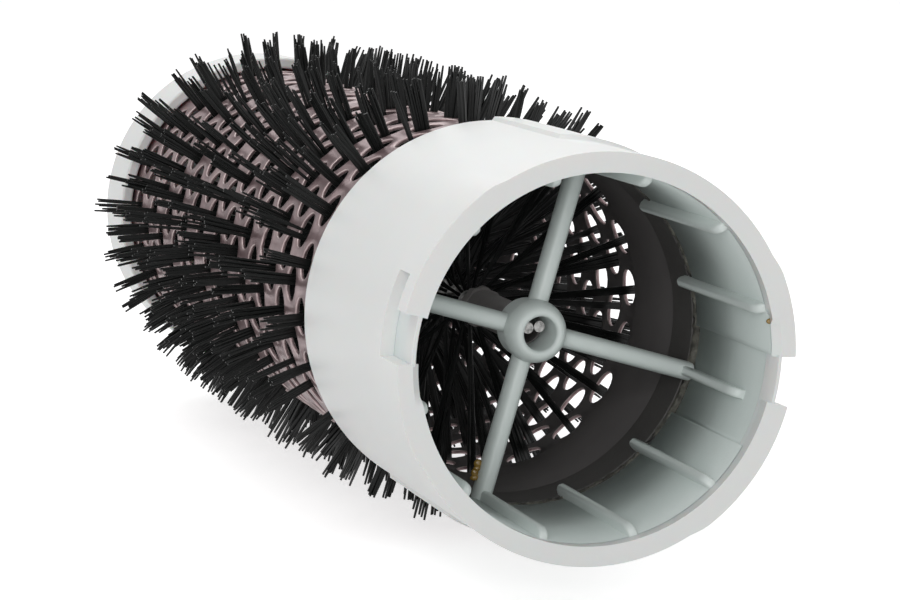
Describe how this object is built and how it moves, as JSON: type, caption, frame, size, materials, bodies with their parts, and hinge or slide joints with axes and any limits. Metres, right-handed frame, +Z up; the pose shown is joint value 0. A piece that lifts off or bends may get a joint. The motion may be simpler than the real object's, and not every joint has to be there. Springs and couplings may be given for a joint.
{
  "type": "hot air brush head",
  "caption": "Round hot air brush head: perforated metal barrel with nylon bristles on a twisted-wire stem, a spoked bayonet collar for the handle and a turning cool tip.",
  "frame": {"origin": "centre of the open collar's rim plane, where the handle's air outlet meets the head", "axes": "+Y along the head from the open rim to the far end, +Z up, +X to the right when looking into the rim"},
  "size_m": [0.0502, 0.1415, 0.0502],
  "materials": {
    "collar_white": "moulded white plastic with a soft satin sheen",
    "frame_pale": "pale grey-green moulded plastic, satin",
    "glue_beige": "rough dried adhesive, beige to brown",
    "insulator_charcoal": "charcoal heat-proof band, dull",
    "barrel_rose": "rose-taupe coated metal, satin",
    "stem_steel": "drawn steel wire, bright where cut",
    "sleeve_grey": "dull brown-grey sleeve",
    "bristle_nylon": "black nylon, slightly glossy"
  },
  "bodies": {
    "head": {"collar": "collar_white", "inner_frame": "frame_pale", "glue_seam": "glue_beige", "insulator_ring": "insulator_charcoal", "barrel": "barrel_rose", "stem_wire_a": "stem_steel", "stem_wire_b": "stem_steel", "stem_sleeve": "sleeve_grey", "bristle_ring_01": "bristle_nylon", "bristle_ring_02": "bristle_nylon", "bristle_ring_03": "bristle_nylon", "bristle_ring_04": "bristle_nylon", "bristle_ring_05": "bristle_nylon", "bristle_ring_06": "bristle_nylon", "bristle_ring_07": "bristle_nylon", "bristle_ring_08": "bristle_nylon", "bristle_ring_09": "bristle_nylon", "bristle_ring_10": "bristle_nylon", "end_cap": "collar_white", "tip_pin": "stem_steel", "tip_washer": "stem_steel"},
    "cool_tip": {"cool_tip": "collar_white"}
  },
  "joints": [
    {"name": "cool_tip_turn", "type": "hinge", "parent": "head", "child": "cool_tip", "pos_m": [0, 0.133, 0], "axis": [0, 1, 0], "continuous": true}
  ]
}
